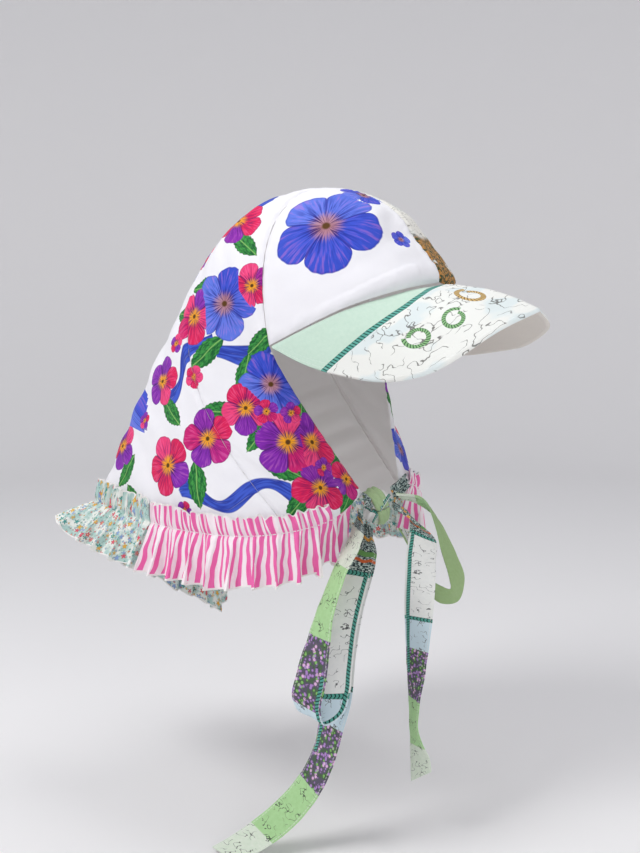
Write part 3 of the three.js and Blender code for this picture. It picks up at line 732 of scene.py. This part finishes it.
hoodLook = {
    "waves": 1.5,
    "blooms": motifRows(hood, [
        (0.10, 0.62, 21, 10, 1.44, -1), (0.05, 0.80, 19, 50, 0.12, -1), (0.13, 0.78, 21, 120, 0.37, -1),
        (0.10, 0.91, 18, 200, 0.58, -1), (0.02, 0.93, 14, 80, 0.81, -1), (0.22, 0.70, 17, 30, 0.29, -1),
        (0.42, 0.58, 19, 75, 0.66, -1), (0.34, 0.80, 19, 15, 0.93, -1), (0.50, 0.74, 17, 140, 0.18, -1),
        (0.44, 0.88, 20, 95, 0.45, -1), (0.57, 0.88, 17, 15, 0.73, -1), (0.75, 0.34, 15, 60, 0.27, -1),
        (0.62, 0.42, 14, 100, 0.52, -1), (0.28, 0.46, 24, 20, 1.77, -1),
        (0.10, 0.65, 20, 30, 0.34, 1), (0.16, 0.82, 19, 70, 0.69, 1), (0.05, 0.88, 16, 10, 1.52, 1),
        (0.40, 0.55, 20, 10, 1.23, 1), (0.36, 0.75, 19, 45, 0.14, 1), (0.52, 0.68, 18, 85, 0.86, 1),
        (0.62, 0.86, 20, 130, 0.41, 1), (0.30, 0.90, 17, 160, 0.55, 1), (0.80, 0.55, 21, 20, 0.62, 1),
        (0.92, 0.78, 20, 75, 0.31, 1), (0.72, 0.70, 18, 35, 1.66, 1), (0.85, 0.90, 17, 55, 0.77, -1),
        (0.80, 0.62, 20, 25, 0.22, -1), (0.68, 0.80, 19, 65, 1.35, -1), (0.30, 0.30, 20, 35, 0.48, 1),
        (0.10, 0.33, 15, 40, 0.31, -1), (0.42, 0.30, 17, 90, 0.76, -1)], 1.3),
    "buds": motifRows(hood, [
        (0.16, 0.70, 9, 0, 0.21, -1), (0.07, 0.71, 8, 40, 0.83, -1), (0.06, 0.87, 8, 20, 0.15, -1),
        (0.38, 0.69, 9, 60, 0.39, -1), (0.48, 0.66, 8, 10, 0.91, -1), (0.40, 0.96, 8, 30, 0.63, -1),
        (0.52, 0.82, 7, 0, 0.11, -1), (0.70, 0.38, 8, 20, 0.36, -1), (0.56, 0.5, 8, 15, 0.74, -1),
        (0.13, 0.73, 9, 0, 0.56, 1), (0.44, 0.66, 9, 30, 0.28, 1), (0.57, 0.78, 8, 40, 0.95, 1),
        (0.86, 0.68, 9, 60, 0.13, 1), (0.74, 0.72, 9, 35, 0.49, -1), (0.90, 0.5, 9, 5, 0.17, -1)], 1.1),
    "leaves": motifRows(hood, [
        (0.03, 0.72, 13, 60, 0.1, -1), (0.17, 0.84, 14, 150, 0.3, -1), (0.05, 0.98, 12, 20, 0.5, -1),
        (0.16, 0.93, 12, 40, 0.7, -1), (0.34, 0.62, 14, 80, 0.9, -1), (0.45, 0.78, 13, 160, 0.2, -1),
        (0.37, 0.90, 14, 110, 0.4, -1), (0.53, 0.92, 13, 60, 0.6, -1), (0.66, 0.36, 12, 30, 0.8, -1),
        (0.78, 0.42, 13, 70, 0.15, -1), (0.6, 0.8, 12, 10, 0.35, -1), (0.2, 0.61, 12, 100, 0.55, -1),
        (0.05, 0.74, 13, 70, 0.75, 1), (0.45, 0.62, 14, 20, 0.95, 1), (0.3, 0.83, 13, 130, 0.25, 1),
        (0.66, 0.78, 13, 50, 0.45, 1), (0.85, 0.6, 14, 90, 0.65, 1), (0.95, 0.86, 13, 10, 0.85, 1),
        (0.76, 0.86, 14, 70, 0.12, -1), (0.86, 0.56, 13, 110, 0.32, -1), (0.06, 0.42, 12, 70, 0.41, -1),
        (0.22, 0.28, 12, 20, 0.61, -1)], 1.5),
    "leavesLow": motifRows(hood, [
        (0.10, 0.72, 13, 110, 0.12, -1), (0.02, 0.86, 12, 0, 0.32, -1), (0.20, 0.76, 12, 60, 0.52, -1),
        (0.13, 0.99, 12, 100, 0.72, -1), (0.48, 0.60, 13, 30, 0.92, -1), (0.30, 0.73, 13, 20, 0.22, -1),
        (0.50, 0.97, 12, 140, 0.42, -1), (0.40, 0.50, 12, 60, 0.62, -1), (0.73, 0.27, 12, 130, 0.82, -1),
        (0.55, 0.66, 13, 90, 0.17, 1), (0.88, 0.84, 13, 45, 0.37, 1), (0.12, 0.9, 12, 15, 0.57, 1),
        (0.82, 0.96, 13, 25, 0.77, -1)], 1.5),
    "ribbons": motifRows(hood, [
        (0.13, 0.48, 60, 60, 0.2, -1), (0.40, 0.66, 46, 80, 0.6, -1), (0.30, 0.91, 50, 10, 0.9, -1),
        (0.60, 0.40, 50, 75, 0.4, -1), (0.2, 0.5, 60, 80, 0.3, 1), (0.45, 0.84, 50, 30, 0.7, 1),
        (0.9, 0.66, 55, 50, 0.5, 1), (0.92, 0.38, 50, 20, 0.1, -1)])}


def seamAt(down):
    # the back seam; above its first row it closes to the middle of the head
    first = read(backSeam, 0.2612, "round")[0]
    closing = np.clip((0.2612 - down) / 0.04925, 0, 1)
    return np.where(down < 0.2612, first + (1 - first) * closing, read(backSeam, down, "round")[0])


def finishHood(name, u, points, width, seed):
    # the same wall, print and cut for every hood panel
    depth = spans(points, 0)
    edges = [u * width, (1 - u) * width, depth[-1] - depth + 1]
    outer, inner, cloth, near = seamForm(points, edges, hoodLook["waves"], seed)
    piece, faces = wallMesh(name, outer, inner, cloth, near)
    for layer in motifLayers:
        addMotifs(piece, faces, points, layer, hoodLook[layer])
    place(piece, "printed", name, "printed_cotton")
    cut(piece, outer)


def hoodSide(side):
    # the hood's surface from its front edge to the back seam, less a small gap at each
    u, v = grid(80, 170)
    down = 0.012 + v * 0.988
    seam = seamAt(down)
    raw = hood(u * seam, down, side + 0 * u)
    width = spans(raw, 1)[:, -1:]
    gap = panelLook["gap"] / width
    points = hood(seam * (gap + u * (1 - 2 * gap)), down, side + 0 * u)
    name = "hood_side_" + ("right" if side < 0 else "left")
    finishHood(name, u, points, width, 31 + side)


def hoodBack():
    # the hood's surface between the two back seams: round runs from the right seam to the left one
    u, v = grid(190, 130)
    down = 0.235 + v * 0.765
    seam = seamAt(down)
    across = 2 * u - 1
    side = np.where(across < 0, -1.0, 1.0)
    raw = hood(1 - np.abs(across) * (1 - seam), down, side)
    width = spans(raw, 1)[:, -1:]
    trimmed = across * (1 - 2 * panelLook["gap"] / np.maximum(width, 0.6))
    points = hood(1 - np.abs(trimmed) * (1 - seam), down, side)
    finishHood("hood_back", u, points, width, 41)


peakLook = {
    "board": 3.2, "bevel": 1.6, "wave": 0.35, "waveLength": 40, "small": 0.15, "smallLength": 16,
    "span": 0.985,
    "greenCurls": motifRows(visor, [
        (0.66, 0.64, 13, 20, 0.3, -1), (0.79, 0.66, 13, 150, 0.5, -1), (0.5, 0.45, 14, 100, 0.3, 1)]),
    "goldCurls": motifRows(visor, [(0.92, 0.48, 17, 120, 0.6, -1), (0.72, 0.5, 14, 40, 0.6, 1)])}


def peakPiece():
    # a board under cloth whose free edge is rounded by a quarter circle, and that thins to its sewn edge
    k = peakLook
    u, v = grid(170, 46)
    across = (2 * u - 1) * k["span"]
    side = np.where(across < 0, -1.0, 1.0)
    points = visor(1 - np.abs(across), v, side)
    normal = normalsOf(points, (0, -80, -900))
    along, out = spans(points, 1), spans(points, 0)
    length = along[:, -1:]
    near = np.minimum.reduce([out[-1] - out, along + 1.0, length - along + 1.0])
    rounding = 1 - np.sqrt(np.clip(1 - (1 - np.clip(near / k["bevel"], 0, 1)) ** 2, 0, 1))
    lift = k["wave"] * ripple(along, out, k["waveLength"], 7)
    lift = lift + k["small"] * ripple(along, out, k["smallLength"], 8)
    lift = lift - 1.5 * rounding - 0.8 * bell(out, 2.0)
    outer = points + normal * lift[..., None]
    inner = points - normal * (k["board"] - 1.5 * rounding)[..., None]
    cloth = np.stack([(u - 0.5) * 2 * 190, out], -1)
    piece, faces = wallMesh("peak", outer, inner, cloth, near)
    for layer in ("greenCurls", "goldCurls"):
        addMotifs(piece, faces, points, layer, k[layer])
    place(piece, "mint", "peak", "pale_linen")


# ruffle

ruffleLook = {"drop": 40, "heading": 9, "fold": 18, "wall": 1.0, "centre": (0, 50, 0), "swell": 5.6,
              "sway": 4.4, "gather": 1.1, "cut": 0.049}


def hem(spot, down=1.0):
    # the hood's surface by place round the hem: -1 right front corner, 0 back, 1 left front corner
    return hood(1 - np.abs(spot), down + 0 * spot, np.where(spot < 0, -1.0, 1.0))


def ruffle(node, start, end, look, slotName, seed, part=""):
    # skirt and heading hang from the gather line. Across the folds the cloth moves out by the sine of
    # its phase and sideways by the cosine, so that the folds overlap a little, and tight gathers die
    # away from the line
    r = ruffleLook
    fine = np.linspace(start, end, 1200)
    line = hem(fine)
    length = travelled(line)
    columns = int(length[-1] / 0.95)
    s = np.linspace(0, length[-1], columns + 1)
    spot = np.interp(s, length, fine)
    heights = np.r_[np.linspace(-r["heading"], 0, 9), np.linspace(0, r["drop"], 31)[1:]]
    low = heights[:, None] + 0 * s
    spot = spot[None, :] + 0 * low
    base = hem(spot)
    e = 0.004
    along = unit(hem(spot + e) - hem(spot - e))
    above = unit(base - hem(spot, 0.95))
    normal = unit(np.cross(along, above))
    normal = np.where((normal * (base - r["centre"])).sum(-1, keepdims=True) < 0, -normal, normal)
    level = unit((base - r["centre"]) * [1, 1, 0])
    flare = np.radians(read(ruffleFlare, spot, "degrees")[0])
    fall = level * np.sin(flare)[..., None] - stack(0, 0, 1) * np.cos(flare)[..., None]
    out = unit(np.cross(along, fall))
    facing = (out * level).sum(-1, keepdims=True) + out[..., 2:] * np.sin(flare)[..., None]
    out = np.where(facing < 0, -out, out)

    def drift(wave, step):
        return ripple(s, 0 * s, wave, seed + step)[None, :]

    flow = s[None, :] + 5.5 * drift(90, 0)
    phase = flow * tau / r["fold"] + 0.5 * drift(34, 1)
    tight = np.sin(flow * tau / 5.2 + 1.8 * drift(21, 2))
    skirt = np.clip(low / r["drop"], 0, 1)
    swell = r["swell"] * skirt ** 0.75 * (1 + 0.3 * drift(55, 3))
    wave = np.sin(phase) + 0.3 * np.sin(2.3 * phase + 0.8)
    side = r["sway"] * skirt ** 0.9 * np.cos(phase + 0.5)
    pinch = 1.2 * np.exp(-np.abs(low) / 7) * tight
    head = np.clip(-low / r["heading"], 0, 1)
    frill = np.sin(flow * tau / 8.6 + 1.3 * drift(30, 4))
    frill = head ** 0.8 * (2.2 + 2.0 * frill)
    up = hem(spot, 1 - np.clip(-low, 0, 99) / 205)
    lift = r["wall"] + 1.0
    gather = r["gather"] * bell(low, 2.2)
    skirtPoint = base + normal * (lift - gather)[..., None] + fall * low[..., None]
    skirtPoint = skirtPoint + out * (swell * wave + pinch)[..., None]
    stand = lift - gather + 0.4 * smooth(0, 0.2, head) + frill + np.clip(pinch, -0.3, 1)
    headPoint = up + normal * stand[..., None]
    points = np.where((low < 0)[..., None], headPoint, skirtPoint) + along * side[..., None]
    droop = skirt ** 2 * (1.8 * drift(48, 5) + 1.3 * np.sin(phase + 0.9))
    crest = head ** 1.3 * (1.7 * drift(9, 6) + 1.3 * np.cos(flow * tau / 8.6))
    points[..., 2] += crest - droop
    face = normalsOf(points, r["centre"])
    inner = points - face * r["wall"]
    clothX = travelled(points[-8]) * 1.15
    cloth = np.stack([clothX[None, :] + 0 * low, low], -1)
    near = np.minimum(r["drop"] - low, low + r["heading"] + 0.8)
    near = np.minimum(near, np.minimum(s, s[-1] - s)[None, :] + 2.5)
    name = node + part
    piece, faces = wallMesh(name, points, inner, cloth, near)
    place(piece, look, node, slotName)
    flatLength = spans(points, 1)[:, -1].mean() * 0.001
    print(name, "flat", round(flatLength, 3))


# ties

tieNames = "x y z turn tilt"
ties = {
    "strap_right": [
        (-27, -51.5, -246, 80, 70), (-20, -51.5, -249, 80, 70), (-16.5, -50.5, -251, 80, 70)],
    "strap_left": [
        (27, -58.5, -238, 95, 68), (18, -57, -243, 95, 68), (11, -54, -247, 95, 68)],
    "loop_right": [
        (-18, -41, -260, -130, -8), (-36, -52, -266, -127, -6), (-58, -61, -275, -125, -2),
        (-80, -63, -291, -124, 2), (-92, -58.5, -318, -118, 0), (-98, -55, -346, -100, -4),
        (-102, -52, -371, -78, -16), (-102, -48, -392, -68, -26), (-97, -50, -403, -66, -26),
        (-88, -57, -400, -58, -10), (-83.5, -60.5, -386, -50, 0), (-83, -62, -370, -44, -2),
        (-74, -61.5, -333, -46, -5), (-59, -61.5, -302, -70, -4), (-38, -57, -284, -86, -4),
        (-14, -46, -270, -118, 2)],
    "tail_right": [
        (-5, -42, -274, -113, 0), (-33, -53, -294, -90, -5), (-59, -56.5, -327, -66, 0),
        (-71, -57.5, -361, -66, -2), (-74.5, -57, -395, -84, -8), (-76.5, -53, -416, -98, -10),
        (-78.5, -48.5, -437, -104, -14), (-84, -38.5, -464, -104, -22), (-95, -25.5, -486, -98, -28),
        (-109, -10.5, -503, -92, -26), (-122, 2, -513, -92, -16), (-132, 11, -517.6, -94, -6)],
    "tail_left": [
        (1, -61.5, -255, -128, -22), (5, -73, -262, -122, -24), (8, -83, -273, -96, -18),
        (5, -85, -298, -60, -6), (-3, -88.5, -329, -76, -1), (-11, -92, -359, -100, 2),
        (-17, -94, -384, -116, 3), (-21, -94.5, -405, -130, 5), (-22, -96, -431, -132, 6),
        (-21, -100, -448, -114, 14), (-22, -103, -466, -98, 36)],
    "loop_left": [
        (10, -61, -248, -10, -32), (22, -69, -252, 16, -36), (34, -76.5, -261, 14, -34),
        (41, -83.5, -280, 8, -16), (44, -91, -301, 0, -8), (44.5, -98, -320, -6, -16),
        (40, -98, -333, 6, -38), (30, -89, -331, 12, -56), (23.5, -79.5, -321, 18, -52),
        (20, -71, -300, 20, -40), (14, -61, -276, 18, -26)]}


tieLook = {"cut": 25.5, "strapCut": 14, "half": 0.75, "pleat": 1.5, "fade": 16}


def tie(name, look, widthAt, seed, first, last, cutWidth=tieLook["cut"]):
    # a flat strip along its course: pleats run out of the knot and die away by exp(-s/16), and the
    # edges cup and wander a little
    rows = np.array(ties[name], float)
    at = travelled(rows[:, :3])
    course = table("at " + tieNames, np.column_stack([at, rows]))
    total = at[-1]
    s = np.linspace(0, total, int(total / 1.1) + 2)
    turn, tilt = [np.radians(a) for a in read(course, s, "turn", "tilt")]
    middle = np.stack(read(course, s, "x", "y", "z"), -1)
    wide = stack(np.cos(turn) * np.cos(tilt), np.sin(turn) * np.cos(tilt), np.sin(tilt))
    way = unit(np.gradient(middle, axis=0))
    normal = unit(np.cross(wide, way))
    width = widthAt(s, total)
    u = np.linspace(-0.5, 0.5, 25)
    away = u[None, :] * width[:, None]
    nearKnot = np.exp(-s / tieLook["fade"])
    if "loop" in name:
        nearKnot = nearKnot + np.exp(-(total - s) / tieLook["fade"])
    pleat = tieLook["pleat"] * nearKnot[:, None] * np.cos(u * tau * 2.5)[None, :]
    cup = 0.5 * (u[None, :] * 2) ** 2 * np.sin(s / 23 + seed)[:, None]
    lift = pleat + cup + 0.3 * ripple(away, s[:, None] + 0 * away, 15, seed) * (1 - 0.6 * nearKnot[:, None])
    points = middle[:, None] + wide[:, None] * away[..., None] + normal[:, None] * lift[..., None]
    thin = tieLook["half"] * np.sqrt(np.clip(1 - (np.abs(u) * 2) ** 12, 0.05, 1))[None, :, None]
    outer = points + normal[:, None] * thin
    inner = points - normal[:, None] * thin
    printed = first + (last - first) * s[:, None] / total
    cloth = np.stack([u[None, :] * math.copysign(24, last - first) + 0 * away, printed + 0 * away], -1)
    near = np.minimum((0.5 - np.abs(u))[None, :] * 24, (np.minimum(s, total - s) + 3)[:, None])
    piece, faces = wallMesh(name, outer, inner, cloth, near)
    place(piece, look, name, "tie_linen")
    print(name, "length", round(total))


def turnBy(v, about, angle):
    # Rodrigues' turn of vectors about a unit axis
    k = unit(np.array(about, float))
    c, s = math.cos(angle), math.sin(angle)
    return v * c + np.cross(k, v) * s + k * (v @ k)[..., None] * (1 - c)


knotLook = {"centre": np.array([-3.0, -47.0, -256.0]), "core": np.array([9.2, 9.2, 13.6]), "wall": 1.2,
            "strip": 1.1, "pleat": 0.55, "wander": 0.3}


def wound(name, look, radii, wide, lean, rock, slack, shift, seed):
    # a pleated strip wound once round the knot: an oval (cos, sin) loop, pinched where it passes
    # underneath; lean turns it about the vertical and rock tips it sideways
    u, v = grid(96, 20)
    around = (u * 0.985 + 0.0075) * tau
    width = wide * (0.8 + 0.25 * np.sin(around + 0.6))
    pleat = knotLook["pleat"] * np.cos((v - 0.5) * tau * 2.5 + 0.8 * np.sin(around * 2 + seed))
    pleat = pleat + knotLook["wander"] * ripple(u * 90, v * 14, 12, seed)
    puff = 1 - 0.10 * ((v - 0.5) * 2) ** 2
    out = stack(0 * u, -np.cos(around), np.sin(around))
    loop = stack((v - 0.5) * width, -radii[0] * np.cos(around) * puff, radii[1] * np.sin(around) * puff)
    loop = loop + out * (pleat + slack)[..., None]
    loop, out = [turnBy(turnBy(p, (0, 1, 0), rock), (0, 0, 1), lean) for p in (loop, out)]
    outer = knotLook["centre"] + loop
    near = (0.5 - np.abs(v - 0.5)) * 20
    cloth = np.stack([(v - 0.5) * 22, u * 80 + shift], -1)
    piece, faces = wallMesh(name, outer, outer - out * knotLook["strip"], cloth, near)
    place(piece, look, "knot", "tie_linen")
    cut(piece, outer)


def knotPiece():
    # an oval core with creases that run round it, and strips wound over it
    u, v = grid(72, 48)
    theta, high = u * tau, (v - 0.5) * math.pi * 0.985
    crease = 1 + 0.05 * np.sin(high * 7 + 1.3 * np.sin(theta)) + 0.03 * np.sin(theta * 5 + high * 3)
    shell = stack(np.cos(theta) * np.cos(high), np.sin(theta) * np.cos(high), np.sin(high))
    shell = shell * crease[..., None]
    k = knotLook
    cloth = np.stack([u * 60, v * 50], -1)
    outer = k["centre"] + shell * k["core"]
    inner = k["centre"] + shell * (k["core"] - k["wall"])
    piece, faces = wallMesh("knot_core", outer, inner, cloth, 5 + 0 * u)
    place(piece, "tieBoth", "knot", "tie_linen")
    wound("knot_band", "tieBoth", (11.2, 14.2), 15, -1.30, 0.42, 0.2, 172, 3)
    wound("knot_fold", "reverse", (12.6, 15.2), 12, -0.50, -0.34, 0.6, 0, 5)


crownFront(-1, "printed", "printed_cotton")
crownFront(1, "pale", "pale_print")
hoodSide(-1)
hoodSide(1)
hoodBack()
print("panels done")
peakPiece()
ruffle("ruffle_right", -0.955, -0.541, "stripe", "pink_stripe", 3)
ruffle("ruffle_back", -0.538, 0.53, "flowers", "small_flowers", 5)
ruffle("ruffle_left", 0.533, 0.818, "flowers", "small_flowers", 8)
ruffle("ruffle_left", 0.82, 0.955, "stripe", "pink_stripe", 9, "_front")
knotPiece()


def pinch(s, total):
    return 24.5 * (0.42 + 0.58 * smooth(0, 34, s))


def pinchBoth(s, total):
    return np.minimum(pinch(s, total), pinch(total - s, total))


def narrow(s, total):
    return 12 + 0 * s


tie("strap_right", "tieBoth", narrow, 1, 272, 282, tieLook["strapCut"])
tie("strap_left", "tieBoth", narrow, 2, 272, 282, tieLook["strapCut"])
tie("loop_right", "tieBoth", pinchBoth, 3, -26, 299)
tie("loop_left", "tie", pinchBoth, 4, 20, 200)
tie("tail_right", "tieBoth", pinch, 5, 296, 4)
tie("tail_left", "tieBoth", pinch, 6, 297, 4)
print("ties done")


# floor, light and camera

studioLook = {"floorZ": -0.5202, "floor": (0.9, 0.89, 0.89, 1), "world": (0.9, 0.92, 1.0, 1),
              "worldPower": 0.38, "aim": (0, 0, -0.25), "focal": 1000, "frameHeight": 853}


def studio():
    # one pale sheet all round: a flat floor, a quarter circle and a low wall
    bend = np.linspace(0, math.pi / 2, 12)
    away = np.r_[0.02, 0.8, 1.7 + 0.6 * np.sin(bend), 2.3]
    rise = np.r_[0, 0, 0.6 * (1 - np.cos(bend)), 1.6]
    turn = np.linspace(0, tau, 73)[:-1]
    x, y = away[:, None] * np.cos(turn), away[:, None] * np.sin(turn)
    points = stack(x, y, rise[:, None] + studioLook["floorZ"]).reshape(-1, 3)
    index = np.arange(len(away) * 72).reshape(-1, 72)
    beside = np.roll(index, -1, axis=1)
    quads = np.stack([index[:-1], index[1:], beside[1:], beside[:-1]], -1).reshape(-1, 4)
    mesh = bpy.data.meshes.new("floor")
    mesh.from_pydata(points, [], [list(index[0])] + quads.tolist())
    mesh.polygons.foreach_set("use_smooth", np.ones(len(quads) + 1, bool))
    floor = link("floor", mesh)
    s = Shader("pale_floor", 0.8, 0)
    s.surface.inputs["Base Color"].default_value = studioLook["floor"]
    mesh.materials.append(s.material)
    floor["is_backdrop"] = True


def lamp(name, spot, aim, size, power):
    data = bpy.data.lights.new(name, "AREA")
    data.shape = "DISK"
    data.size = size
    data.energy = power
    light = link(name, data)
    way = np.array(aim, float) - np.array(spot, float)
    light.location = spot
    light.rotation_euler = Vector(way).to_track_quat("-Z", "Y").to_euler()


def camera():
    # the photo's place, 833 mm from the cap's axis by the wearer's right front, 7.4 degrees downwards
    data = bpy.data.cameras.new("camera")
    data.sensor_width = 36
    data.lens = 36 * studioLook["focal"] / studioLook["frameHeight"]
    data.clip_start = 0.05
    eye = link("camera", data)
    eye.location = (-0.6876, -0.4703, -0.086)
    eye.rotation_euler = (math.radians(90 - 7.4), 0, math.radians(-55))
    bpy.context.scene.camera = eye


studio()
lamp("key", (-1.0, 0.5, 1.0), studioLook["aim"], 0.7, 13.5)
lamp("fill", (-0.9, -1.5, 0.6), studioLook["aim"], 1.0, 5)
lamp("top", (0.3, -0.4, 1.4), (0, 0, -0.2), 0.9, 7.5)
bpy.context.scene.view_settings.view_transform = "Standard"
world = bpy.data.worlds.new("soft")
world.use_nodes = True
world.node_tree.nodes["Background"].inputs[0].default_value = studioLook["world"]
world.node_tree.nodes["Background"].inputs[1].default_value = studioLook["worldPower"]
bpy.context.scene.world = world
camera()

boxes = {"frame": frameBounds, "all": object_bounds()}
{key: [list(map(float, p)) for p in box] for key, box in boxes.items()}
